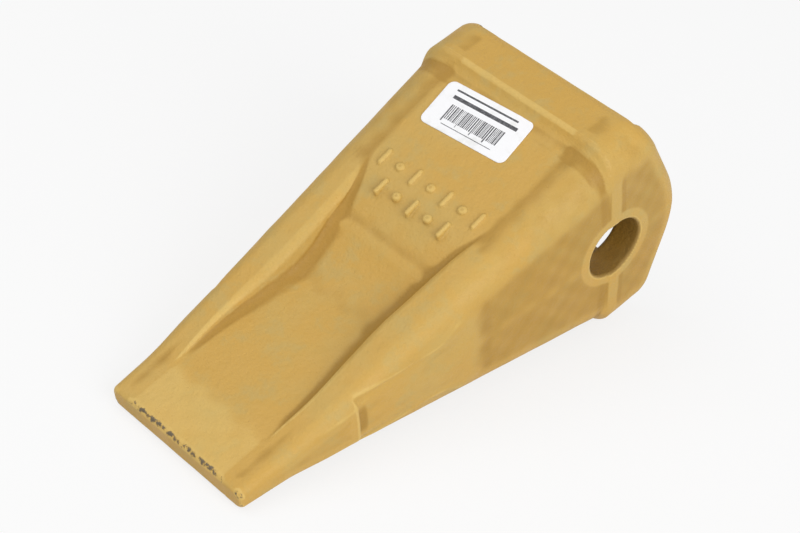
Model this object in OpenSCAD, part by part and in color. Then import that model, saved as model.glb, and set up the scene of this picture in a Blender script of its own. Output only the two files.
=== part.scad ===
// Excavator bucket tooth: one hollow steel casting that slides over an adapter nose and is held by a
// cross pin, with a stuck-on paper label. Millimetres. The tooth lies on its lower face, cutting edge
// towards +X, and the origin is the middle of the pin bore.

/* [Blade] */
// Distance from the pin bore to the cutting edge
reach = 188; // [165:1:215]
// Width of the blade at the cutting edge
tip_w = 75; // [62:1:84]
// Thickness of the blade at the cutting edge
tip_t = 10.4; // [8:0.2:14]
// Corner radius of the blade at the cutting edge
tip_r = 3.2; // [2:0.2:3.8]

/* [Body] */
// Width across the parting line at the pin bore
body_w = 107; // [94:1:118]
// Draft of each flank, from the parting line out to the corners
flank_draft = 1.6; // [0.5:0.1:3]
// Height of the body at the front of the collar
body_h = 95.4; // [88:0.2:98]
// Corner radius of the body at the collar
body_r = 14; // [8:0.5:18]

/* [Collar] */
// Height across the collar, top to bottom
collar_h = 103; // [100:1:120]
// Length of the collar along the tooth
collar_l = 22; // [16:1:26]
// Distance of the collar's rear edge behind the pin bore
collar_back = 21; // [20:1:26]
// Radius of the hollow between the collar and the body
collar_fillet = 7; // [4:0.5:8]
// Step of the collar beyond each flank
collar_side = 0.3; // [0.2:0.1:2]

/* [Ears] */
// Distance of the ears' rearmost point behind the pin bore
ear_back = 37.5; // [32:0.5:46]
// Radius of the ears' rounded rear outline
ear_r = 47; // [40:1:49]
// Chamfer round the outside of the ears
ear_chamfer = 4; // [2:0.5:5]
// Relief of each ear's inner face beyond the socket's side wall
ear_relief = 1; // [0.5:0.1:2]

/* [Pin bore] */
// Diameter of the pin bore
bore_d = 27.5; // [22:0.1:32]

/* [Socket] */
// Depth of the nose socket from the collar's rear edge
socket_depth = 91; // [70:1:96]
// Width of the socket at its mouth
socket_mouth_w = 82; // [70:1:84]
// Height of the socket at its mouth
socket_mouth_h = 72; // [64:1:80]
// Width of the socket at its end
socket_end_w = 60; // [44:1:64]
// Height of the socket at its end
socket_end_h = 24; // [18:1:28]
// Corner radius of the socket
socket_r = 8; // [4:0.5:10]

/* [Scoops] */
// Distance from the cutting edge to the foot of each scoop's rear slope
scoop_l = 102; // [90:1:108]
// Length of the rear slope, seen from above
scoop_slope_l = 16; // [12:1:22]
// Depth of the scoop at its foot, below the line of the ribs
scoop_depth = 12.4; // [6:0.2:13]
// Width of each scoop between the tops of its ribs
scoop_w = 55; // [40:1:60]
// Width that each rib's inner wall takes up at the foot
scoop_wall = 5; // [2:0.5:8]
// Distance from the cutting edge at which the ribs run out
rib_end = 23; // [15:1:40]
// Thickness of the blade where the ribs run out
rib_h = 14.6; // [12:0.2:20]

/* [Flank panels] */
// Distance from the cutting edge to the step in each flank
panel_front = 56; // [45:1:80]
// Depth of the flank's step
panel_step = 1.2; // [0.5:0.1:2]
// Distance over which the step runs out towards the rear
panel_l = 60; // [30:1:70]

/* [Cast marks] */
// Height of the raised cast marks
mark_rise = 1; // [0.4:0.1:2]
// Length of a bar mark, along the tooth
mark_l = 8; // [5:0.5:9]
// Width of a bar mark
mark_stroke = 2; // [1:0.1:3]
// Spacing of the marks in a row
mark_pitch = 8.6; // [7:0.1:9]
// Distance from the pin bore to the first row, along the top face
mark_row = 52; // [50:0.5:53]
// Distance between the two rows
mark_row_gap = 11; // [9:0.5:12]

/* [Label] */
// Width of the label, across the tooth
label_w = 43; // [30:1:50]
// Length of the label, along the tooth
label_l = 22.5; // [15:0.5:28]
// Thickness of the label, paper and adhesive together
label_t = 0.3; // [0.2:0.05:0.5]
// Corner radius of the label
label_r = 3; // [1:0.5:5]
// Distance from the pin bore to the label's middle, along the top face
label_x = 18; // [16:0.5:26]
// Offset of the label's middle to the right of the centre plane
label_y = 7; // [0:0.5:12]
// Turn of the label on the face
label_turn = 5; // [-10:0.5:10]

/* [Hidden] */
$fn = 64;
label_seat = 0.02;                              // gap under the label, so that it never cuts into the face
over = 1;                                       // how far a cut runs past the face that it opens
slab = 0.02;                                    // thickness of a section inside a hull
hull_fn = 32;                                   // facets of the round corners inside a hull
collar_front = collar_l - collar_back;          // front of the collar, counted from the bore
rib_x = reach - rib_end;                        // where the ribs run out
floor_x = reach - scoop_l;                      // foot of the scoop's rear slope
socket_end_x = socket_depth - collar_back;
lie = atan((collar_h - tip_t) / 2 / (reach - collar_front));   // the tooth's slope as it lies
body_slope = (body_h - rib_h) / 2 / (rib_x - collar_front);    // fall of each face along the ribs
blade_slope = (rib_h - tip_t) / 2 / rib_end;                    // fall of each face ahead of them

// Height of the body's outline above the centre plane, at x ahead of the bore
function outline(x) = x < rib_x ? rib_h / 2 + body_slope * (rib_x - x) : tip_t / 2 + blade_slope * (reach - x);

// Half of the body's width at x ahead of the bore, along the parting line
function half_w(x) = body_w / 2 - collar_side - (body_w / 2 - collar_side - tip_w / 2) * x / reach;

// Corner radius of the body at x ahead of the bore
function corner_r(x) = body_r + (tip_r - body_r) * x / reach;

// A slice across the tooth, from x forwards: a rounded rectangle that is widest at the parting line
module section(x, w, h, r, draft) {
    translate([x, 0, 0]) {
        for (side = [-1, 1])
            for (top = [-1, 1])
                translate([0, side * (w / 2 - draft - r), top * (h / 2 - r)])
                    rotate([0, 90, 0])
                        cylinder(r = r, h = slab, $fn = hull_fn);
        translate([0, -w / 2, -slab / 2]) cube([slab, w, slab]);
    }
}

// The body's section at x, on its outline
module body_section(x) {
    section(x, 2 * half_w(x), 2 * outline(x), corner_r(x), flank_draft * (1 - x / reach));
}

// The body, from the collar to the end of the ribs
module wedge() {
    hull() {
        body_section(collar_front - over);
        body_section(rib_x);
    }
}

// The blade ahead of the ribs, out to the cutting edge
module blade() {
    hull() {
        translate([-2 * over, 0, 0]) body_section(rib_x + over);
        for (side = [-1, 1])
            translate([reach - tip_r, side * (tip_w / 2 - tip_r), 0])
                cylinder(r = tip_r, h = tip_t, center = true, $fn = hull_fn);
    }
}

// The rounded rear of the ears as a plate, only as far forward as stays inside the collar
module ear_plate(r, h) {
    rotate([90, 0, 0])
        linear_extrude(h, center = true)
            polygon([for (a = [110:4:250]) [ear_r - ear_back + r * cos(a), r * sin(a)]]);
}

// The collar and the blank of both ears, before the mouth is cut between them
module rear_block() {
    hull() {
        section(-collar_back, body_w, collar_h, body_r, flank_draft);
        section(collar_front, body_w, collar_h, body_r, flank_draft);
        ear_plate(ear_r, body_w - 2 * ear_chamfer);
        ear_plate(ear_r - ear_chamfer, body_w);
    }
}

// A straight bar across the tooth that fills the corner ahead of the collar, hollowed to its radius
module collar_hollow() {
    foot_x = collar_front + collar_fillet;
    difference() {
        rotate([90, 0, 0])
            linear_extrude(body_w - 2 * body_r - 2 * flank_draft, center = true)
                polygon([
                    [collar_front - over, outline(foot_x) - over],
                    [collar_front - over, collar_h / 2 - collar_fillet / 8],
                    [collar_front + collar_fillet / 8, collar_h / 2 - collar_fillet / 8],
                    [foot_x, outline(foot_x) + slab],
                    [foot_x, outline(foot_x) - over]
                ]);
        translate([foot_x, 0, outline(foot_x) + collar_fillet])
            rotate([90, 0, 0])
                cylinder(r = collar_fillet, h = body_w, center = true);
    }
}

// One slice of the socket at x, with round corners
module socket_section(x, w, h) {
    translate([x, 0, 0])
        for (side = [-1, 1])
            for (top = [-1, 1])
                translate([0, side * (w / 2 - socket_r), top * (h / 2 - socket_r)])
                    rotate([0, 90, 0])
                        cylinder(r = socket_r, h = slab, center = true, $fn = hull_fn);
}

// The tapered socket that takes the adapter's nose
module socket() {
    hull() {
        socket_section(-collar_back - over, socket_mouth_w, socket_mouth_h);
        socket_section(socket_end_x, socket_end_w, socket_end_h);
    }
}

// The gap between the ears, behind the collar
module mouth() {
    gap_w = socket_mouth_w + 2 * ear_relief;
    translate([-ear_back - over, -gap_w / 2, -collar_h])
        cube([ear_back - collar_back + over + ear_relief / 2, gap_w, 2 * collar_h]);
}

// The scoop in one face: a sloping rear wall, a floor that rises to the ribs' end, and leaning side walls
module scoop() {
    hull() {
        translate([floor_x, 0, outline(floor_x) - scoop_depth])
            cube([slab, scoop_w - 2 * scoop_wall, slab], center = true);
        for (x = [floor_x - scoop_slope_l, rib_x])
            translate([x, 0, outline(x) + body_h / 2])
                cube([slab, scoop_w, body_h], center = true);
    }
}

// The shallow panel in one flank, with a step at its front that runs out towards the rear
module flank_panel() {
    front = reach - panel_front;
    tall = 2 * (outline(front) - corner_r(front) / 2);
    linear_extrude(tall, center = true)
        polygon([
            [front, half_w(front) - panel_step],
            [front, half_w(front) + over],
            [front - panel_l, half_w(front - panel_l) + over],
            [front - panel_l, half_w(front - panel_l)]
        ]);
}

// Places its children on the sloping top face, x along the face from above the bore
module on_top_face() {
    translate([0, 0, outline(0)])
        rotate([0, atan(body_slope), 0])
            children();
}

// Two rows of plain foundry marks, bars and round pips by turns
module cast_marks() {
    on_top_face()
        for (row = [0, 1])
            for (i = [row:6 - row])
                translate([mark_row + row * mark_row_gap, (i - 3) * mark_pitch, 0])
                    if ((i + row) % 2 == 0)
                        cube([mark_l, mark_stroke, 2 * mark_rise], center = true);
                    else
                        cylinder(d = 2 * mark_stroke, h = 2 * mark_rise, center = true, $fn = hull_fn);
}

// The whole casting along its own axis, before it is laid down
module casting_upright() {
    difference() {
        union() {
            wedge();
            blade();
            rear_block();
            collar_hollow();
            mirror([0, 0, 1]) collar_hollow();
            cast_marks();
        }
        scoop();
        mirror([0, 0, 1]) scoop();
        flank_panel();
        mirror([0, 1, 0]) flank_panel();
        socket();
        mouth();
        rotate([90, 0, 0]) cylinder(d = bore_d, h = body_w + 2 * over, center = true);
    }
}

// Casting, painted yellow
module tooth_casting() {
    color("goldenrod")
        rotate([0, lie, 0])
            casting_upright();
}

// Rounded paper label stuck to the top face
module label() {
    color("white")
        rotate([0, lie, 0])
            on_top_face()
                translate([label_x, -label_y, label_seat])
                    rotate([0, 0, label_turn])
                        linear_extrude(label_t)
                            hull()
                                for (sx = [-1, 1])
                                    for (sy = [-1, 1])
                                        translate([sx * (label_l / 2 - label_r), sy * (label_w / 2 - label_r)])
                                            circle(r = label_r);
}

tooth_casting();
label();
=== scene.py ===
"""Looks of a cast bucket tooth: the painted casting, its paper label, the studio and the camera.

The casting is modelled as a distance field in the tooth's own upright frame (x towards the cutting
edge, z across the tooth's height), turned into one closed mesh with soft foundry radii, and then laid
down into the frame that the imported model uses.
"""
import logging
import math
from dataclasses import dataclass, field
from enum import Enum
from typing import Callable

import bpy
import numpy as np
from mathutils import Matrix, Vector


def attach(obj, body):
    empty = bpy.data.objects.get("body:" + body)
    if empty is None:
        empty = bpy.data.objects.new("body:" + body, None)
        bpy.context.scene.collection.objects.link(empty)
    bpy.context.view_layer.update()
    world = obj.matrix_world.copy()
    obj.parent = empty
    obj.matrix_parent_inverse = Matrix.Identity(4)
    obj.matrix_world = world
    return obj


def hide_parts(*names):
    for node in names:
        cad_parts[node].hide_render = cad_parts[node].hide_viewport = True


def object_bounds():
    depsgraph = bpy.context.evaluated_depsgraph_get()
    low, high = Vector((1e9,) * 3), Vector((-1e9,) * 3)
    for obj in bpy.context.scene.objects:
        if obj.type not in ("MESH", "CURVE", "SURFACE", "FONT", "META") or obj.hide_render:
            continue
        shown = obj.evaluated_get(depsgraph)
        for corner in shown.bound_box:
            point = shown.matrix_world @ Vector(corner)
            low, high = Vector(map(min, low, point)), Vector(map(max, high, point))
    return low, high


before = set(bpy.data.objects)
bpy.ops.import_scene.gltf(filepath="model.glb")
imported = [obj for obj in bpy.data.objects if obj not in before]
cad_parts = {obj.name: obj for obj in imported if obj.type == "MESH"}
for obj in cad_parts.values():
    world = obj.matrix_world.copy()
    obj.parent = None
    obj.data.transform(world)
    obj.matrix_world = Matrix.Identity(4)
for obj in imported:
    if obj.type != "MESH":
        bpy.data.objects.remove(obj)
CAD_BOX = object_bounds()

LOG = logging.getLogger("bucket_tooth")
MM = 0.001

Array = np.ndarray
Length = float | Array
Field = Callable[[Array, Array, Array], Array]


# ---------------------------------------------------------------------------------------------
# Distance-field helpers, all in millimetres
# ---------------------------------------------------------------------------------------------
def round_join(a: Array, b: Array, r: Length) -> Array:
    """Union of two distance fields with a hollow fillet between them.

    Args:
        a: First distance.
        b: Second distance.
        r: Fillet radius.

    Returns:
        The distance to the joined solid.
    """
    return np.maximum(np.minimum(a, b), r) - np.hypot(np.maximum(r - a, 0), np.maximum(r - b, 0))


def round_common(a: Array, b: Array, r: Length) -> Array:
    """Intersection of two distance fields with a rounded outer edge.

    Args:
        a: First distance.
        b: Second distance.
        r: Edge radius.

    Returns:
        The distance to the common solid.
    """
    return np.minimum(np.maximum(a, b), -r) + np.hypot(np.maximum(r + a, 0), np.maximum(r + b, 0))


def round_cut(a: Array, b: Array, r: Length) -> Array:
    """Solid a with solid b cut away, its new edge rounded.

    Args:
        a: Distance to the solid that stays.
        b: Distance to the solid that is cut away.
        r: Edge radius.

    Returns:
        The distance to what is left.
    """
    return round_common(a, -b, r)


def rounded_box_2d(u: Array, v: Array, half_u: Length, half_v: Length, r: Length) -> Array:
    """Distance to a rounded rectangle centred on the origin.

    Args:
        u: First coordinate.
        v: Second coordinate.
        half_u: Half of the rectangle along u.
        half_v: Half of the rectangle along v.
        r: Corner radius.

    Returns:
        The distance, negative inside.
    """
    du = np.abs(u) - half_u + r
    dv = np.abs(v) - half_v + r
    return np.hypot(np.maximum(du, 0), np.maximum(dv, 0)) + np.minimum(np.maximum(du, dv), 0) - r


def ramp(x: Array, low: float, high: float) -> Array:
    """Smooth step from 0 to 1.

    Args:
        x: The values to map.
        low: Where the step leaves 0.
        high: Where it reaches 1, which may be below low.

    Returns:
        The step's values.
    """
    t = np.clip((x - low) / (high - low), 0, 1)
    return t * t * (3 - 2 * t)


def soft_max(a: Array, b: Array, k: float) -> Array:
    """Larger of two values, blended where they are close.

    Args:
        a: First value.
        b: Second value.
        k: Width of the blend.

    Returns:
        The larger value.
    """
    h = np.clip(0.5 + 0.5 * (a - b) / k, 0, 1)
    return b + (a - b) * h + k * h * (1 - h)


# ---------------------------------------------------------------------------------------------
# From a field to a closed mesh
# ---------------------------------------------------------------------------------------------
@dataclass
class NetMesher:
    """Turns a distance field into one closed quad mesh whose points lie on the surface."""

    low: tuple[float, float, float]
    high: tuple[float, float, float]
    step: float = 1.0
    passes: int = 4
    sample: float = 0.15
    pull: float = 0.8
    leash: float = 0.9
    least_slope: float = 0.2

    def axes(self) -> list[Array]:
        """Grid coordinates along x, y and z, with the surface well inside them."""
        before, after = 2.5 * self.step, 3.5 * self.step
        return [np.arange(lo - before, hi + after, self.step) for lo, hi in zip(self.low, self.high)]

    def mesh(self, solid: Field) -> tuple[Array, Array]:
        """Builds the mesh of the surface where the field is zero.

        Args:
            solid: Distance field of the solid.

        Returns:
            Points (n, 3) in millimetres and quads (m, 4) that wind outwards.
        """
        ax = self.axes()
        gx, gy, gz = np.meshgrid(*ax, indexing="ij")
        value = solid(gx, gy, gz)
        inside = value < 0
        cells = tuple(n - 1 for n in value.shape)
        total = np.zeros(cells + (3,))
        count = np.zeros(cells)
        corners = [(i, j, k) for i in (0, 1) for j in (0, 1) for k in (0, 1)]
        for a in corners:
            for axis in range(3):
                if a[axis]:
                    continue
                b = tuple(1 if n == axis else a[n] for n in range(3))
                va = self._corner(value, a, cells)
                vb = self._corner(value, b, cells)
                cross = (va < 0) != (vb < 0)
                t = np.where(cross, va / np.where(cross, va - vb, 1), 0)
                for n in range(3):
                    total[..., n] += np.where(cross, a[n] + (t if n == axis else 0), 0)
                count += cross
        active = count > 0
        index = np.full(cells, -1, dtype=np.int64)
        index[active] = np.arange(int(active.sum()))
        where = np.argwhere(active)
        point = total[active] / count[active][:, None]
        origin = np.array([a[0] for a in ax])
        point = origin + (where + point) * self.step
        quads = [self._quads(inside, index, axis) for axis in range(3)]
        return self._settle(solid, point), np.concatenate(quads)

    @staticmethod
    def _corner(value: Array, corner: tuple[int, int, int], cells: tuple[int, int, int]) -> Array:
        """View of the field at one corner of every cell.

        Args:
            value: The field on the grid.
            corner: The corner, as 0 or 1 on each axis.
            cells: Number of cells on each axis.

        Returns:
            The field's values at that corner.
        """
        return value[tuple(slice(c, c + n) for c, n in zip(corner, cells))]

    @staticmethod
    def _quads(inside: Array, index: Array, axis: int) -> Array:
        """Quads across the grid edges along one axis.

        Args:
            inside: Whether each grid point is inside the solid.
            index: Number of each cell's mesh point.
            axis: The axis that the edges run along.

        Returns:
            Quads (m, 4) of point numbers.
        """
        u, v = (axis + 1) % 3, (axis + 2) % 3
        a = inside.take(range(inside.shape[axis] - 1), axis)
        b = inside.take(range(1, inside.shape[axis]), axis)
        found = np.argwhere(a != b)
        pu, pv = found[:, u], found[:, v]
        found = found[(pu > 0) & (pv > 0) & (pu < index.shape[u]) & (pv < index.shape[v])]
        ring = []
        for du, dv in ((-1, -1), (0, -1), (0, 0), (-1, 0)):
            cell = found.copy()
            cell[:, u] += du
            cell[:, v] += dv
            ring.append(index[cell[:, 0], cell[:, 1], cell[:, 2]])
        quad = np.stack(ring, 1)
        outward = a[found[:, 0], found[:, 1], found[:, 2]]
        quad[~outward] = quad[~outward][:, ::-1]
        return quad

    def _settle(self, solid: Field, point: Array) -> Array:
        """Moves each point along the field's slope until it lies on the surface.

        Args:
            solid: Distance field of the solid.
            point: Points near the surface.

        Returns:
            The points on the surface.
        """
        h = self.sample * self.step
        leash = self.leash * self.step
        start = point.copy()
        for _ in range(self.passes):
            slope = gradient(solid, point, h)
            here = solid(*point.T)
            size = np.maximum((slope**2).sum(1), self.least_slope)
            point = point - (self.pull * here / size)[:, None] * slope
            point = start + np.clip(point - start, -leash, leash)
        return point


def gradient(solid: Field, point: Array, h: float) -> Array:
    """Slope of a field at points, by central differences.

    Args:
        solid: Distance field.
        point: Points (n, 3).
        h: Half of the distance between the two samples on each axis.

    Returns:
        The slope (n, 3).
    """
    slope = np.empty_like(point)
    for n in range(3):
        step = np.zeros(3)
        step[n] = h
        ahead, behind = point + step, point - step
        slope[:, n] = (solid(*ahead.T) - solid(*behind.T)) / (2 * h)
    return slope


def bend(solid: Field, point: Array, h: float) -> Array:
    """How sharply the surface bends at each point.

    Args:
        solid: Distance field.
        point: Points (n, 3) on the surface.
        h: Distance of the samples.

    Returns:
        Positive values on outer edges and negative ones in hollows, per millimetre.
    """
    here = solid(*point.T)
    total = -6 * here
    for n in range(3):
        step = np.zeros(3)
        step[n] = h
        total = total + solid(*(point + step).T) + solid(*(point - step).T)
    return total / h**2


# ---------------------------------------------------------------------------------------------
# The casting's sizes and shape
# ---------------------------------------------------------------------------------------------
@dataclass
class ToothCasting:
    """The hollow steel casting: wedge, collar, ears, scoops, socket, pin bore and cast marks."""

    reach: float = 188.0
    tip_w: float = 75.0
    tip_t: float = 10.4
    body_w: float = 107.0
    body_h: float = 95.4
    body_r: float = 14.0
    tip_r: float = 3.6
    edge_r: float = 2.0
    draft: float = 1.6
    collar_h: float = 103.0
    collar_back: float = 21.0
    collar_front: float = 1.0
    collar_fillet: float = 7.0
    ear_back: float = 37.5
    ear_r: float = 47.0
    ear_edge: float = 6.0
    bore_d: float = 27.5
    bore_rim: float = 1.6
    socket_end: float = 70.0
    socket_mouth: tuple[float, float] = (82.0, 72.0)
    socket_inner: tuple[float, float] = (60.0, 24.0)
    socket_r: float = 8.0
    mouth_gap: float = 84.0
    rib_x: float = 165.0
    rib_h: float = 14.6
    scoop_foot: tuple[float, float] = (86.0, 14.4)
    scoop_shoulder: tuple[float, float] = (69.0, 31.6)
    scoop_half: tuple[float, float] = (22.5, 26.5)
    rib_lean: float = 5.0
    panel_x: float = 132.0
    panel_l: float = 60.0
    panel_step: float = 1.2
    panel_half: float = 12.6
    mark_rise: float = 0.95
    mark_pitch: float = 8.6
    mark_rows: tuple[float, float] = (52.0, 63.0)
    mark_half: tuple[float, float] = (4.0, 0.95)
    pip_r: float = 1.9
    kink_blend: float = 0.9
    side_step: float = 0.25
    side_run: tuple[float, float] = (-2.0, 8.0)
    seam_r: float = 0.3
    collar_edge_r: float = 1.6
    scoop_root_r: float = 13.0
    shoulder_r: float = 11.0
    socket_end_r: float = 6.0
    socket_rim: float = 1.6
    mouth_rim: float = 1.8
    # Scales that bring the fields of leaning faces back to about one per millimetre.
    wedge_true: float = 0.975
    floor_true: float = 0.995
    wall_true: float = 0.93
    socket_true: float = 0.96
    fine_sample: float = 1.3
    broad_sample: float = 4.0
    mesh_step: float = 0.8
    quick_step: float = 1.6
    marks: bool = True
    chips: list[tuple[float, float, float, float]] = field(default_factory=lambda: [
        (-20.5, -44.0, 51.0, 2.0), (-19.8, -36.5, 51.8, 1.3), (-21.0, -20.0, 51.4, 1.0),
        (188.3, -36.8, -3.5, 1.9), (187.6, -37.8, 3.0, 1.1), (188.0, 36.6, 4.6, 1.5),
        (188.6, 12.0, 5.2, 1.0), (188.4, -14.0, -5.0, 1.2), (188.8, 27.0, -4.4, 1.3),
        (-3.0, 50.5, 46.6, 0.9), (-15.0, 44.0, 51.6, 1.1), (160.0, -39.2, 8.2, 0.8),
    ])

    def lie(self) -> float:
        """Angle, in radians, between the tooth's own axis and the ground as it lies."""
        return math.atan((self.collar_h - self.tip_t) / 2 / (self.reach - self.collar_front))

    def face_slope(self) -> float:
        """Fall of each face along the ribs, per millimetre."""
        return (self.body_h - self.rib_h) / 2 / (self.rib_x - self.collar_front)

    def blade_slope(self) -> float:
        """Fall of each face ahead of the ribs, per millimetre."""
        return (self.rib_h - self.tip_t) / 2 / (self.reach - self.rib_x)

    def face_angle(self) -> float:
        """Angle, in radians, between each face and the tooth's own axis."""
        return math.atan(self.face_slope())

    def face_top(self) -> float:
        """Height of the plane of the top face over the middle of the bore."""
        return self.rib_h / 2 + self.face_slope() * self.rib_x

    def outline(self, x: Array) -> Array:
        """Half of the tooth's height.

        Args:
            x: Coordinate along the tooth.

        Returns:
            The half height at x.
        """
        along = self.rib_h / 2 + self.face_slope() * (self.rib_x - x)
        ahead = self.tip_t / 2 + self.blade_slope() * (self.reach - x)
        return soft_max(along, ahead, self.kink_blend)

    def half_width(self, x: Array) -> Array:
        """Half of the tooth's width along the parting line.

        Args:
            x: Coordinate along the tooth.

        Returns:
            The half width at x.
        """
        wide = (self.body_w - (self.body_w - self.tip_w) * x / self.reach) / 2
        return wide - self.side_step * ramp(x, *self.side_run)

    def wedge(self, x: Array, y: Array, z: Array) -> Array:
        """Distance to the wedge, from inside the collar to the cutting edge.

        Args:
            x: Coordinate along the tooth.
            y: Coordinate across the tooth.
            z: Coordinate up the tooth.

        Returns:
            The distance to the wedge.
        """
        high = self.outline(x)
        t = np.clip(x / self.reach, 0, 1)
        r = self.body_r + (self.tip_r - self.body_r) * t
        wide = self.half_width(x) - self.draft * (1 - t) * np.minimum(np.abs(z) / high, 1)
        front = self.panel_x
        on_panel = ramp(x, front - self.panel_l, front - 1.5) * ramp(x, front + 0.8, front - 0.8)
        band = ramp(np.abs(z), self.panel_half + 1.2, self.panel_half - 1.2)
        wide = wide - self.panel_step * on_panel * band
        section = rounded_box_2d(y, z, wide, high, np.minimum(r, high - 1.5)) * self.wedge_true
        nose = round_common(section, x - self.reach, self.edge_r)
        return np.maximum(nose, -x - 1)

    def ear_outline(self, x: Array, z: Array) -> Array:
        """Distance behind the ears' rear outline, an arc that runs into a straight edge on each side.

        Args:
            x: Coordinate along the tooth.
            z: Coordinate up the tooth.

        Returns:
            The distance to the outline.
        """
        centre = self.ear_r - self.ear_back
        corner = (-self.collar_back, self.collar_h / 2)
        reach = math.hypot(centre - corner[0], corner[1])
        turn = math.atan2(-corner[1], centre - corner[0]) - math.asin(self.ear_r / reach)
        normal = (math.sin(turn), -math.cos(turn))
        run = math.sqrt(reach**2 - self.ear_r**2)
        touch = (corner[0] + run * math.cos(turn), corner[1] + run * math.sin(turn))
        xc = np.minimum(x, 0)
        line = (x - corner[0]) * normal[0] + (np.abs(z) - corner[1]) * normal[1]
        arc = np.hypot(xc - centre, z) - self.ear_r
        return np.where(np.abs(z) / (centre - xc) > touch[1] / (centre - touch[0]), line, arc)

    def collar_section(self, y: Array, z: Array) -> Array:
        """Distance to the collar's section.

        Args:
            y: Coordinate across the tooth.
            z: Coordinate up the tooth.

        Returns:
            The distance to the section.
        """
        wide = self.body_w / 2 - self.draft * np.abs(z) / (self.collar_h / 2)
        return rounded_box_2d(y, z, wide, self.collar_h / 2, self.body_r)

    def rear(self, x: Array, y: Array, z: Array) -> Array:
        """Distance to the collar and the blank of both ears.

        Args:
            x: Coordinate along the tooth.
            y: Coordinate across the tooth.
            z: Coordinate up the tooth.

        Returns:
            The distance to the collar and the ears.
        """
        block = round_common(self.collar_section(y, z), self.ear_outline(x, z), self.ear_edge)
        return round_common(block, x - self.collar_front, self.collar_edge_r)

    def collar_foot(self, x: Array, y: Array, z: Array) -> Array:
        """Distance to the steel that fills the corner ahead of the collar, hollowed to a radius.

        Args:
            x: Coordinate along the tooth.
            y: Coordinate across the tooth.
            z: Coordinate up the tooth.

        Returns:
            The distance to that steel.
        """
        under_top = self.collar_section(y, z)
        r = self.collar_fillet
        front = self.collar_front + r
        t = np.clip(x / self.reach, 0, 1)
        face = self.outline(np.full_like(x, front)) + self.face_slope() * (front - x)
        side = self.half_width(x) - self.draft * (1 - t)
        above = rounded_box_2d(y, z, side, face, self.body_r * (1 - t))
        bowl = r - np.hypot(x - front, np.minimum(above, r) - r)
        hollowed = round_common(under_top, bowl, self.collar_edge_r)
        return np.maximum(np.maximum(x - front, -x - 1), hollowed)

    def scoop_floor(self, x: Array) -> Array:
        """Height of a scoop's floor over the tooth's middle plane.

        Args:
            x: Coordinate along the tooth.

        Returns:
            The floor's height at x.
        """
        drop = self.scoop_foot[1] - self.tip_t / 2
        return self.tip_t / 2 + drop * (self.reach - x) / (self.reach - self.scoop_foot[0])

    def scoop(self, x: Array, y: Array, z: Array) -> tuple[Array, Array, Array]:
        """The space of both scoops, in two parts.

        Args:
            x: Coordinate along the tooth.
            y: Coordinate across the tooth.
            z: Coordinate up the tooth.

        Returns:
            The distance to the space over the rear slope and the floor, the distance to the space
            between the two leaning side walls, and the depth of the floor below the ribs at x.
        """
        high = np.abs(z)
        floor = self.scoop_floor(x)
        above = (floor - high) * self.floor_true
        rise = (self.scoop_shoulder[0] - self.scoop_foot[0], self.scoop_shoulder[1] - self.scoop_foot[1])
        run = math.hypot(*rise)
        back = ((high - self.scoop_foot[1]) * rise[0] - (x - self.scoop_foot[0]) * rise[1]) / run
        bottom = round_common(above, back, self.scoop_root_r)
        depth = self.outline(x) - floor
        half = self.scoop_half[0] + (self.scoop_half[1] - self.scoop_half[0]) * ramp(x, 100, 150)
        lean = self.rib_lean * np.clip((high - floor) / 12.4, 0, 1.35)
        side = (np.abs(y) - half - lean) * self.wall_true
        return bottom, side, depth

    def scoop_edge(self, x: Array) -> Array:
        """Radius of a scoop's upper edges: broad at the shoulder, small where the ribs run out.

        Args:
            x: Coordinate along the tooth.

        Returns:
            The radius at x.
        """
        along_ribs = np.clip(0.42 * (self.outline(x) - self.scoop_floor(x)), 0.15, 3.6)
        return along_ribs + (self.shoulder_r - along_ribs) * ramp(x, 84, 74)

    def socket(self, x: Array, y: Array, z: Array) -> Array:
        """Distance to the space of the nose socket.

        Args:
            x: Coordinate along the tooth.
            y: Coordinate across the tooth.
            z: Coordinate up the tooth.

        Returns:
            The distance to that space.
        """
        t = (x + self.collar_back) / (self.socket_end + self.collar_back)
        half_w = (self.socket_mouth[0] + (self.socket_inner[0] - self.socket_mouth[0]) * t) / 2
        half_h = (self.socket_mouth[1] + (self.socket_inner[1] - self.socket_mouth[1]) * t) / 2
        r = np.minimum(self.socket_r, np.maximum(half_h - 1, 1))
        section = rounded_box_2d(y, z, half_w, half_h, r) * self.socket_true
        return round_common(section, x - self.socket_end, self.socket_end_r)

    def mark_plan(self) -> list[tuple[float, float, bool]]:
        """Places of the cast marks on the top face.

        Returns:
            For each mark, its distance along the face, its place across it, and whether it is a bar.
        """
        plan = []
        for row, along in enumerate(self.mark_rows):
            for i in range(row, 7 - row):
                plan.append((along, (i - 3) * self.mark_pitch, (i + row) % 2 == 0))
        return plan

    def with_marks(self, solid: Array, x: Array, y: Array, z: Array) -> Array:
        """Adds the raised cast marks to the top face.

        Args:
            solid: Distance to the casting so far.
            x: Coordinate along the tooth.
            y: Coordinate across the tooth.
            z: Coordinate up the tooth.

        Returns:
            The distance with the marks, each with a small fillet at its foot.
        """
        angle, top = self.face_angle(), self.face_top()
        along = x * math.cos(angle) - (z - top) * math.sin(angle)
        above = x * math.sin(angle) + (z - top) * math.cos(angle)
        near = (along > self.mark_rows[0] - 9) & (along < self.mark_rows[1] + 9) & (np.abs(above) < 5)
        if not near.any():
            return solid
        u, v, w, base = along[near], y[near], above[near], solid[near]
        marks = np.full(u.shape, 1e3)
        for cu, cv, bar in self.mark_plan():
            if bar:
                plan = rounded_box_2d(u - cu, v - cv, self.mark_half[0], self.mark_half[1], 0.9)
            else:
                plan = np.hypot(u - cu, v - cv) - self.pip_r
            marks = np.minimum(marks, plan)
        raised = round_common(marks, w - self.mark_rise, 0.4)
        result = solid.copy()
        result[near] = round_join(base, raised, 0.5)
        return result

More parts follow.
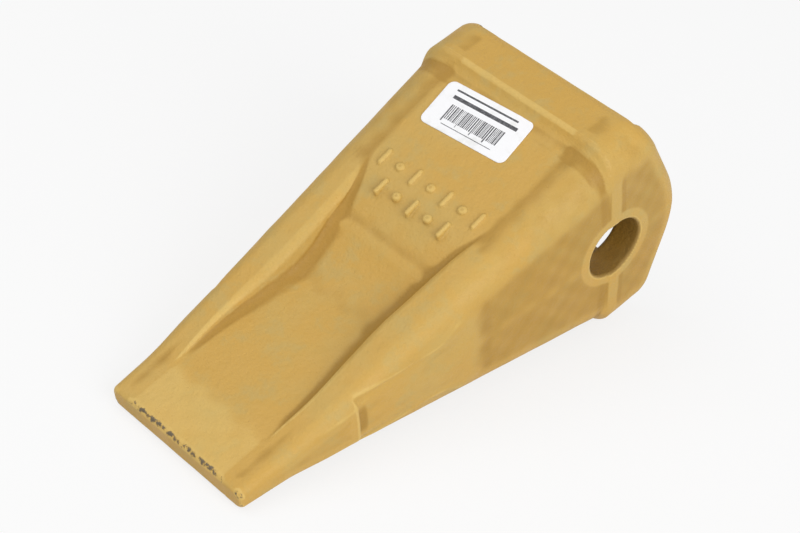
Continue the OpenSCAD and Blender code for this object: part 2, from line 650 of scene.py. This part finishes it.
    def wander(self, x: Array, y: Array, z: Array) -> Array:
        """Slow unevenness of a sand casting, never above the nominal surface.

        Args:
            x: Coordinate along the tooth.
            y: Coordinate across the tooth.
            z: Coordinate up the tooth.

        Returns:
            How far the surface lies below the nominal one.
        """
        rough = np.sin(x * 0.21 + 0.8 * np.sin(y * 0.17)) * np.sin(y * 0.27 + 1.3) * np.sin(z * 0.23 + 0.4)
        ripple = np.sin(x * 0.53 + 2.1) * np.sin(y * 0.47 + 0.6 * np.sin(x * 0.11)) * np.cos(z * 0.49)
        return 0.07 * (rough + 0.5 * ripple + 1.5)

    def solid(self, x: Array, y: Array, z: Array) -> Array:
        """Distance to the whole casting.

        Args:
            x: Coordinate along the tooth, from the bore towards the cutting edge.
            y: Coordinate across the tooth.
            z: Coordinate up the tooth.

        Returns:
            The distance in millimetres, negative inside the steel.
        """
        outer = round_join(self.wedge(x, y, z), self.rear(x, y, z), self.seam_r)
        outer = np.minimum(outer, self.collar_foot(x, y, z))
        bottom, side, depth = self.scoop(x, y, z)
        shoulder = round_cut(outer, bottom, self.scoop_edge(x))
        beside = round_cut(outer, side, np.clip(0.4 * depth, 0.15, 3.0))
        root = np.clip(0.42 * depth, 0.05, 3.4) * ramp(x, 67, 80) + 0.02
        outer = round_join(shoulder, beside, root)
        outer = outer + self.wander(x, y, z)
        if self.marks:
            outer = self.with_marks(outer, x, y, z)
        for cx, cy, cz, r in self.chips:
            outer = np.maximum(outer, (r - np.sqrt((x - cx) ** 2 + (y - cy) ** 2 + (z - cz) ** 2)) * 0.8)
        mouth = np.maximum(x + self.collar_back - 0.5, np.abs(y) - self.mouth_gap / 2)
        outer = round_cut(outer, mouth, self.mouth_rim)
        outer = round_cut(outer, self.socket(x, y, z), self.socket_rim)
        bore = np.hypot(x, z) - self.bore_d / 2
        return round_cut(outer, bore, self.bore_rim)

    def row_matrix(self) -> Matrix:
        """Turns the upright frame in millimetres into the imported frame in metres."""
        return Matrix.Rotation(self.lie(), 4, "Y") @ Matrix.Scale(MM, 4)

    def build(self) -> bpy.types.Object:
        """Makes the casting's mesh, with its edge and hollow values as point attributes.

        Returns:
            The finished object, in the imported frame.
        """
        step = self.mesh_step
        half_w, half_h = self.body_w / 2, self.collar_h / 2
        mesher = NetMesher((-self.ear_back, -half_w, -half_h), (self.reach, half_w, half_h), step)
        point, quad = mesher.mesh(self.solid)
        fine = bend(self.solid, point, self.fine_sample)
        self.marks = False
        broad = bend(self.solid, point, self.broad_sample)
        self.marks = True
        bore = np.hypot(point[:, 0], point[:, 2]) - self.bore_d / 2
        within = np.minimum(bore, self.socket(*point.T)) - 0.8
        inner = ramp(within, 0.4, -0.4)
        mesh = bpy.data.meshes.new("tooth_casting_surface")
        turn = np.array(self.row_matrix())
        placed = point @ turn[:3, :3].T + turn[:3, 3]
        mesh.from_pydata(placed.tolist(), [], quad.tolist())
        mesh.polygons.foreach_set("use_smooth", np.ones(len(quad), dtype=bool))
        along = point[:, 0]
        worn = fine * np.maximum(ramp(along, self.reach - 5, self.reach - 1), ramp(along, -17, -21))
        # edge feeds a painted highlight on outer edges, hollow feeds painted shade in concave places, inner
        # feeds painted shade inside the bore and socket; worn marks real wear at the tip and rear.
        for name, value in (("edge", fine), ("hollow", -broad), ("worn", worn), ("inner", inner)):
            layer = mesh.attributes.new(name, "FLOAT", "POINT")
            layer.data.foreach_set("value", np.clip(value, 0, 2).astype(np.float32))
        mesh.update()
        return add_object("painted_casting", mesh)


def add_object(name: str, mesh: bpy.types.Mesh) -> bpy.types.Object:
    """Puts a mesh into the scene.

    Args:
        name: The new object's name.
        mesh: Its mesh.

    Returns:
        The new object.
    """
    obj = bpy.data.objects.new(name, mesh)
    bpy.context.scene.collection.objects.link(obj)
    return obj


# ---------------------------------------------------------------------------------------------
# The label
# ---------------------------------------------------------------------------------------------
@dataclass
class PaperLabel:
    """The rounded paper label on the top face, with plain printed bars and ruled lines."""

    casting: ToothCasting
    size: tuple[float, float] = (22.5, 43.0)
    thickness: float = 0.3
    corner: float = 3.0
    along: float = 18.0
    across: float = -7.0
    turn: float = 5.0
    lift: float = 0.02
    ink_lift: float = 0.02
    bars: int = 38

    def place(self) -> Matrix:
        """Matrix from the label's own plane, in millimetres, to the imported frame."""
        on_face = Matrix.Translation((0, 0, self.casting.face_top()))
        on_face = on_face @ Matrix.Rotation(self.casting.face_angle(), 4, "Y")
        spot = Matrix.Translation((self.along, self.across, self.lift))
        spot = spot @ Matrix.Rotation(math.radians(self.turn), 4, "Z")
        return self.casting.row_matrix() @ on_face @ spot

    def outline(self, steps: int = 10) -> list[tuple[float, float]]:
        """Points round the label's edge, counter-clockwise.

        Args:
            steps: Number of straight pieces in each corner.

        Returns:
            The points, in the label's own plane.
        """
        points = []
        half_u, half_v = self.size[0] / 2 - self.corner, self.size[1] / 2 - self.corner
        for quarter, (su, sv) in enumerate(((1, 1), (-1, 1), (-1, -1), (1, -1))):
            for i in range(steps + 1):
                a = math.pi / 2 * (quarter + i / steps)
                u = su * half_u + self.corner * math.cos(a)
                points.append((u, sv * half_v + self.corner * math.sin(a)))
        return points

    def build_paper(self) -> bpy.types.Object:
        """Makes the paper: a flat top with a softly turned-down rim.

        Returns:
            The paper's object.
        """
        ring = self.outline()
        verts: list[tuple[float, float, float]] = []
        thick = self.thickness
        for inset, z in ((0.0, 0.0), (0.0, thick * 0.6), (0.12, thick), (1.0, thick)):
            ku, kv = 1 - 2 * inset / self.size[0], 1 - 2 * inset / self.size[1]
            verts += [(u * ku, v * kv, z) for u, v in ring]
        n = len(ring)
        faces = [tuple(reversed(range(n))), tuple(range(3 * n, 4 * n))]
        for level in range(3):
            for i in range(n):
                j = (i + 1) % n
                a = level * n
                faces.append((a + i, a + j, a + n + j, a + n + i))
        mesh = bpy.data.meshes.new("label_paper_sheet")
        mesh.from_pydata(verts, [], faces)
        mesh.transform(self.place())
        mesh.update()
        return add_object("label_paper", mesh)

    def stripes(self) -> list[tuple[float, float, float, float]]:
        """Rectangles of ink on the label: ruled lines and a field of plain bars.

        Returns:
            The middle and the half sizes of each rectangle, as (u, v, half_u, half_v).
        """
        rng = np.random.default_rng(7)
        ink = [(-8.2, -0.6, 0.42, 15.6), (-4.9, 0.6, 0.85, 16.2)]
        v = -13.6
        for i in range(self.bars):
            wide = (0.22, 0.3, 0.42, 0.6)[int(rng.integers(0, 4))]
            long = 3.6 if i % 9 else 4.3
            ink.append((2.0 + long - 3.6, v + wide / 2, long, wide / 2))
            v += wide + (0.28, 0.36, 0.5)[int(rng.integers(0, 3))]
            if v > 13.6:
                break
        ink.append((8.0, 0.4, 0.16, 12.6))
        return ink

    def build_print(self) -> bpy.types.Object:
        """Makes the printed bars as thin raised patches of ink.

        Returns:
            The print's object.
        """
        verts: list[tuple[float, float, float]] = []
        faces: list[tuple[int, ...]] = []
        low = self.thickness - 0.01
        high = self.thickness + self.ink_lift
        for u, v, hu, hv in self.stripes():
            start = len(verts)
            for z in (low, high):
                verts += [(u - hu, v - hv, z), (u + hu, v - hv, z), (u + hu, v + hv, z), (u - hu, v + hv, z)]
            a = start
            faces += [(a + 3, a + 2, a + 1, a), (a + 4, a + 5, a + 6, a + 7)]
            faces += [(a + i, a + (i + 1) % 4, a + 4 + (i + 1) % 4, a + 4 + i) for i in range(4)]
        mesh = bpy.data.meshes.new("label_print_bars")
        mesh.from_pydata(verts, [], faces)
        mesh.transform(self.place())
        mesh.update()
        return add_object("label_print", mesh)


# ---------------------------------------------------------------------------------------------
# Node groups and finishes
# ---------------------------------------------------------------------------------------------
class Wiring:
    """Small helper that adds and links shader nodes in one tree."""

    def __init__(self, tree: bpy.types.NodeTree) -> None:
        """Starts with an empty tree.

        Args:
            tree: The node tree to build in.
        """
        self.tree = tree
        tree.nodes.clear()

    def add(self, kind: str, **values: object) -> bpy.types.Node:
        """Adds a node and sets its properties.

        Args:
            kind: The node's type name.
            values: Properties of the node by name.

        Returns:
            The new node.
        """
        node = self.tree.nodes.new(kind)
        for key, value in values.items():
            setattr(node, key, value)
        return node

    def link(self, source: bpy.types.NodeSocket, target: bpy.types.NodeSocket) -> None:
        """Joins two sockets.

        Args:
            source: The output socket.
            target: The input socket.
        """
        self.tree.links.new(source, target)

    def noise(self, vector: bpy.types.NodeSocket, scale: float, detail: float,
              rough: float) -> bpy.types.NodeSocket:
        """Adds a noise texture and returns its value.

        Args:
            vector: Coordinates.
            scale: Noise cells per metre.
            detail: Number of finer layers.
            rough: Strength of the finer layers.

        Returns:
            The noise value's socket.
        """
        node = self.add("ShaderNodeTexNoise")
        node.inputs["Scale"].default_value = scale
        node.inputs["Detail"].default_value = detail
        node.inputs["Roughness"].default_value = rough
        self.link(vector, node.inputs["Vector"])
        return node.outputs["Fac"]

    def spread(self, value: bpy.types.NodeSocket, low: float, high: float, to_low: float = 0.0,
               to_high: float = 1.0) -> bpy.types.NodeSocket:
        """Maps a value from one range to another, clamped and eased.

        Args:
            value: The input.
            low: Input that gives to_low.
            high: Input that gives to_high.
            to_low: Output at low.
            to_high: Output at high.

        Returns:
            The mapped value's socket.
        """
        node = self.add("ShaderNodeMapRange", interpolation_type="SMOOTHSTEP")
        for name, number in (("From Min", low), ("From Max", high), ("To Min", to_low), ("To Max", to_high)):
            node.inputs[name].default_value = number
        self.link(value, node.inputs["Value"])
        return node.outputs["Result"]

    def math(self, kind: str, a: "bpy.types.NodeSocket | float",
             b: "bpy.types.NodeSocket | float") -> bpy.types.NodeSocket:
        """Adds a math node.

        Args:
            kind: The operation's name.
            a: First value, a socket or a number.
            b: Second value, a socket or a number.

        Returns:
            The result's socket.
        """
        node = self.add("ShaderNodeMath", operation=kind)
        for slot, value in ((0, a), (1, b)):
            if isinstance(value, (int, float)):
                node.inputs[slot].default_value = value
            else:
                self.link(value, node.inputs[slot])
        return node.outputs["Value"]

    def mix(self, amount: "bpy.types.NodeSocket | float", a: object, b: object) -> bpy.types.NodeSocket:
        """Mixes two colours, each a socket or a linear RGB tuple.

        Args:
            amount: Share of b, a socket or a number.
            a: First colour.
            b: Second colour.

        Returns:
            The mixed colour's socket.
        """
        node = self.add("ShaderNodeMix", data_type="RGBA")
        for slot, value in ((0, amount), (6, a), (7, b)):
            if isinstance(value, tuple):
                node.inputs[slot].default_value = (*value, 1)
            elif isinstance(value, (int, float)):
                node.inputs[slot].default_value = value
            else:
                self.link(value, node.inputs[slot])
        return node.outputs[2]


class Grain(Enum):
    """Scales of unevenness and grain, in cells per metre."""

    CLOUD = 26.0
    PATCH = 70.0
    SOIL = 160.0
    FRAY = 420.0
    SAND = 900.0
    PAPER = 2600.0


def linear(code: str) -> tuple[float, float, float]:
    """Linear RGB of a screen colour.

    Args:
        code: The colour in hexadecimal, such as "c09e54".

    Returns:
        Its red, green and blue.
    """
    parts = [int(code[i:i + 2], 16) / 255 for i in (0, 2, 4)]
    return tuple(c / 12.92 if c <= 0.04045 else ((c + 0.055) / 1.055) ** 2.4 for c in parts)


def grain_group() -> bpy.types.NodeTree:
    """Builds the node group of fine surface grain, with a Scale input and Height and Fleck outputs.

    Returns:
        The node group.
    """
    group = bpy.data.node_groups.new("surface_grain", "ShaderNodeTree")
    group.interface.new_socket("Scale", in_out="INPUT", socket_type="NodeSocketFloat")
    group.interface.new_socket("Height", in_out="OUTPUT", socket_type="NodeSocketFloat")
    group.interface.new_socket("Fleck", in_out="OUTPUT", socket_type="NodeSocketFloat")
    w = Wiring(group)
    entry = w.add("NodeGroupInput")
    leave = w.add("NodeGroupOutput")
    coords = w.add("ShaderNodeTexCoord")
    sized = w.add("ShaderNodeVectorMath", operation="SCALE")
    w.link(coords.outputs["Object"], sized.inputs[0])
    w.link(entry.outputs["Scale"], sized.inputs["Scale"])
    fine = w.noise(sized.outputs[0], 1.0, 4.0, 0.62)
    coarse = w.noise(sized.outputs[0], 0.28, 3.0, 0.55)
    pits = w.add("ShaderNodeTexVoronoi", feature="SMOOTH_F1")
    pits.inputs["Scale"].default_value = 0.55
    w.link(sized.outputs[0], pits.inputs["Vector"])
    pit = w.spread(pits.outputs["Distance"], 0.05, 0.42)
    height = w.math("ADD", w.math("MULTIPLY", fine, 0.5), w.math("MULTIPLY", coarse, 0.9))
    w.link(w.math("ADD", height, w.math("MULTIPLY", pit, 0.16)), leave.inputs["Height"])
    w.link(w.spread(fine, 0.60, 0.74), leave.inputs["Fleck"])
    return group


def start_material(name: str) -> tuple[bpy.types.Material, Wiring, bpy.types.Node]:
    """Makes a material whose surface is one Principled shader.

    Args:
        name: The material's name.

    Returns:
        The material, the wiring of its tree, and its shader.
    """
    material = bpy.data.materials.new(name)
    material.use_nodes = True
    w = Wiring(material.node_tree)
    out = w.add("ShaderNodeOutputMaterial")
    shader = w.add("ShaderNodeBsdfPrincipled")
    w.link(shader.outputs["BSDF"], out.inputs["Surface"])
    return material, w, shader


def add_bump(w: Wiring, shader: bpy.types.Node, height: bpy.types.NodeSocket, strength: float,
             distance: float) -> None:
    """Gives a shader a bump.

    Args:
        w: The tree's wiring.
        shader: The shader.
        height: The bump's height.
        strength: Its strength.
        distance: Its depth in metres at full strength.
    """
    bump = w.add("ShaderNodeBump")
    bump.inputs["Strength"].default_value = strength
    bump.inputs["Distance"].default_value = distance
    w.link(height, bump.inputs["Height"])
    w.link(bump.outputs["Normal"], shader.inputs["Normal"])


@dataclass(frozen=True)
class CastPaint:
    """Ochre paint over sand-cast steel: worn on sharp edges, with painted shade in the hollows and a painted
    highlight on outer edges.
    """

    base: str = "c29f52"
    warm: str = "c59c49"
    cool: str = "bba262"
    # colour of the sand flecks, and of the painted shade in the hollows
    fleck_and_hollow_shade: str = "a27a28"
    # colour of the painted highlight on outer edges
    painted_edge_highlight: str = "d8b768"
    bare: str = "6a5f4c"
    shade: str = "7a5716"
    rust: str = "7a5a2c"

    def build(self, grain: bpy.types.NodeTree) -> bpy.types.Material:
        """Makes the material.

        Args:
            grain: The node group of surface grain.

        Returns:
            The finished material.
        """
        material, w, shader = start_material("cast_paint")
        coords = w.add("ShaderNodeTexCoord").outputs["Object"]
        edge = w.add("ShaderNodeAttribute", attribute_name="edge").outputs["Fac"]
        hollow = w.add("ShaderNodeAttribute", attribute_name="hollow").outputs["Fac"]
        bruise = w.add("ShaderNodeAttribute", attribute_name="worn").outputs["Fac"]
        sand = w.add("ShaderNodeGroup", node_tree=grain)
        sand.inputs["Scale"].default_value = Grain.SAND.value

        cloud = w.noise(coords, Grain.CLOUD.value, 5.0, 0.6)
        patch = w.noise(coords, Grain.PATCH.value, 4.0, 0.65)
        fray = w.noise(coords, Grain.FRAY.value, 5.0, 0.7)
        tone = w.mix(w.spread(cloud, 0.40, 0.62), linear(self.warm), linear(self.base))
        tone = w.mix(w.spread(patch, 0.50, 0.68, 0.0, 0.55), tone, linear(self.cool))
        # painted shade: darker colour laid into concave hollows and recesses, where shade would fall
        tone = w.mix(w.spread(hollow, 0.02, 0.16, 0.0, 0.85), tone, linear(self.fleck_and_hollow_shade))
        # painted highlight: lighter colour laid along outer rounded edges, where light would catch them
        tone = w.mix(w.spread(edge, 0.12, 0.45, 0.0, 0.6), tone, linear(self.painted_edge_highlight))
        inner = w.add("ShaderNodeAttribute", attribute_name="inner").outputs["Fac"]
        tone = w.mix(w.math("MULTIPLY", inner, 0.75), tone, linear(self.shade))
        speck = w.math("MULTIPLY", sand.outputs["Fleck"], 0.22)
        tone = w.mix(speck, tone, linear(self.fleck_and_hollow_shade))
        worn = w.math("ADD", bruise, w.spread(fray, 0.30, 0.72, -0.34, 0.34))
        mask = w.spread(worn, 0.66, 0.86)
        ring = w.spread(worn, 0.52, 0.74)
        tone = w.mix(w.math("MULTIPLY", ring, 0.6), tone, linear(self.rust))
        tone = w.mix(mask, tone, linear(self.bare))
        w.link(tone, shader.inputs["Base Color"])

        dull = w.spread(patch, 0.35, 0.70, 0.50, 0.66)
        w.link(w.math("ADD", dull, w.math("MULTIPLY", mask, -0.08)), shader.inputs["Roughness"])
        w.link(w.math("MULTIPLY", mask, 0.45), shader.inputs["Metallic"])
        add_bump(w, shader, sand.outputs["Height"], 0.9, 0.45 * MM)
        shader.inputs["Specular IOR Level"].default_value = 0.42
        return material


@dataclass(frozen=True)
class LabelPaper:
    """White coated paper, slightly soiled."""

    base: str = "f0f0f2"
    soil: str = "dcdcd8"

    def build(self, grain: bpy.types.NodeTree) -> bpy.types.Material:
        """Makes the material.

        Args:
            grain: The node group of surface grain.

        Returns:
            The finished material.
        """
        material, w, shader = start_material("label_paper")
        coords = w.add("ShaderNodeTexCoord").outputs["Object"]
        fibre = w.add("ShaderNodeGroup", node_tree=grain)
        fibre.inputs["Scale"].default_value = Grain.PAPER.value
        soil = w.spread(w.noise(coords, Grain.SOIL.value, 4.0, 0.6), 0.50, 0.72, 0.0, 0.5)
        w.link(w.mix(soil, linear(self.base), linear(self.soil)), shader.inputs["Base Color"])
        w.link(w.spread(soil, 0.0, 0.5, 0.38, 0.5), shader.inputs["Roughness"])
        add_bump(w, shader, fibre.outputs["Height"], 0.2, 0.04 * MM)
        return material


@dataclass(frozen=True)
class PrintInk:
    """Dark grey thermal print, a little uneven."""

    base: str = "3a3a3e"
    faint: str = "66666a"

    def build(self) -> bpy.types.Material:
        """Makes the material.

        Returns:
            The finished material.
        """
        material, w, shader = start_material("print_ink")
        coords = w.add("ShaderNodeTexCoord").outputs["Object"]
        fade = w.spread(w.noise(coords, Grain.SAND.value, 3.0, 0.6), 0.42, 0.66)
        w.link(w.mix(fade, linear(self.base), linear(self.faint)), shader.inputs["Base Color"])
        w.link(w.spread(fade, 0.0, 1.0, 0.5, 0.62), shader.inputs["Roughness"])
        return material


# ---------------------------------------------------------------------------------------------
# Studio and camera
# ---------------------------------------------------------------------------------------------
@dataclass
class Studio:
    """A plain white floor under soft light."""

    half: float = 3.0
    tone: float = 0.80
    shadow_share: float = 0.22
    sky: float = 0.62
    lamps: tuple[tuple[str, tuple[float, float, float], float, float], ...] = (
        ("key_softbox", (0.55, -0.45, 1.25), 1.1, 7.0),
        ("near_softbox", (0.35, 1.25, 0.75), 1.0, 13.0),
    )

    def build_floor(self, level: float) -> bpy.types.Object:
        """Makes the floor at a height.

        Args:
            level: Height of the object's lowest point, in metres.

        Returns:
            The floor's object.
        """
        mesh = bpy.data.meshes.new("floor_sheet")
        h = self.half
        mesh.from_pydata([(-h, -h, level), (h, -h, level), (h, h, level), (-h, h, level)], [], [(0, 1, 2, 3)])
        floor = add_object("floor", mesh)
        material = bpy.data.materials.new("studio_floor")
        material.use_nodes = True
        w = Wiring(material.node_tree)
        out = w.add("ShaderNodeOutputMaterial")
        matte = w.add("ShaderNodeBsdfDiffuse")
        matte.inputs["Color"].default_value = (self.tone, self.tone, self.tone, 1)
        glow = w.add("ShaderNodeEmission")
        glow.inputs["Strength"].default_value = 1.0
        mixed = w.add("ShaderNodeMixShader")
        w.link(w.math("MULTIPLY", seen_directly(w), 1 - self.shadow_share), mixed.inputs[0])
        w.link(matte.outputs[0], mixed.inputs[1])
        w.link(glow.outputs[0], mixed.inputs[2])
        w.link(mixed.outputs[0], out.inputs["Surface"])
        mesh.materials.append(material)
        return floor

    def build_world(self) -> None:
        """Makes the white surroundings, which light the object evenly and are seen as white."""
        world = bpy.data.worlds.new("studio")
        bpy.context.scene.world = world
        world.use_nodes = True
        w = Wiring(world.node_tree)
        out = w.add("ShaderNodeOutputWorld")
        light = w.add("ShaderNodeBackground")
        light.inputs["Strength"].default_value = self.sky
        white = w.add("ShaderNodeBackground")
        white.inputs["Strength"].default_value = 1.0
        mixed = w.add("ShaderNodeMixShader")
        w.link(seen_directly(w), mixed.inputs[0])
        w.link(light.outputs[0], mixed.inputs[1])
        w.link(white.outputs[0], mixed.inputs[2])
        w.link(mixed.outputs[0], out.inputs["Surface"])

    def add_softbox(self, name: str, spot: Vector, aim: Vector, size: float, power: float) -> None:
        """Adds one square area lamp.

        Args:
            name: The lamp's name.
            spot: Where it hangs.
            aim: The point it faces.
            size: Its side, in metres.
            power: Its power, in watts.
        """
        lamp = bpy.data.lights.new(name, "AREA")
        lamp.size = size
        lamp.energy = power
        obj = bpy.data.objects.new(name, lamp)
        obj.location = spot
        obj.rotation_euler = (aim - spot).to_track_quat("-Z", "Y").to_euler()
        bpy.context.scene.collection.objects.link(obj)


def seen_directly(w: Wiring) -> bpy.types.NodeSocket:
    """One for camera, glossy and transmission rays, and nothing for the rays that light the object.

    Args:
        w: The tree to build in.

    Returns:
        The value's socket.
    """
    path = w.add("ShaderNodeLightPath").outputs
    either = w.math("MAXIMUM", path["Is Camera Ray"], path["Is Glossy Ray"])
    return w.math("MAXIMUM", either, path["Is Transmission Ray"])


@dataclass
class StudioCamera:
    """The camera, by where it stands, where it looks and how it is rolled."""

    spot: tuple[float, float, float] = (0.5770, 0.4174, 0.5089)
    forward: tuple[float, float, float] = (-0.6060, -0.4976, -0.6206)
    right: tuple[float, float, float] = (-0.7037, 0.6990, 0.1270)
    lens: float = 94.83
    sensor: float = 36.0

    def build(self) -> None:
        """Makes the camera and sets it as the scene's own."""
        data = bpy.data.cameras.new("studio_camera")
        data.lens = self.lens
        data.sensor_width = self.sensor
        data.clip_start = 0.01
        cam = bpy.data.objects.new("studio_camera", data)
        back = -Vector(self.forward).normalized()
        right = Vector(self.right)
        right = (right - back * right.dot(back)).normalized()
        up = back.cross(right)
        turn = Matrix((right, up, back)).transposed().to_4x4()
        cam.matrix_world = Matrix.Translation(self.spot) @ turn
        bpy.context.scene.collection.objects.link(cam)
        bpy.context.scene.camera = cam


def dress(piece: bpy.types.Object, material: bpy.types.Material, node: str = "") -> None:
    """Gives a piece its material, its body and the node it stands for.

    Args:
        piece: The piece.
        material: Its material.
        node: Name of the node it replaces, or nothing.
    """
    piece.data.materials.clear()
    piece.data.materials.append(material)
    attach(piece, "root")
    if node:
        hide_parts(node)
    LOG.info("%s: %d faces", piece.name, len(piece.data.polygons))


def main() -> None:
    """Builds every piece in order and lights it."""
    logging.basicConfig(level=logging.INFO, format="%(name)s %(message)s")
    StudioCamera().build()
    grain = grain_group()
    casting = ToothCasting()
    dress(casting.build(), CastPaint().build(grain), "tooth_casting")
    label = PaperLabel(casting)
    dress(label.build_paper(), LabelPaper().build(grain), "label")
    dress(label.build_print(), PrintInk().build())

    low, high = (Vector(corner) for corner in CAD_BOX)
    aim = (low + high) / 2
    studio = Studio()
    studio.build_floor(low.z)
    studio.build_world()
    for name, spot, side, power in studio.lamps:
        studio.add_softbox(name, Vector(spot), aim, side, power)
    bpy.context.scene.view_settings.view_transform = "Standard"


if __name__ == "__main__":
    main()
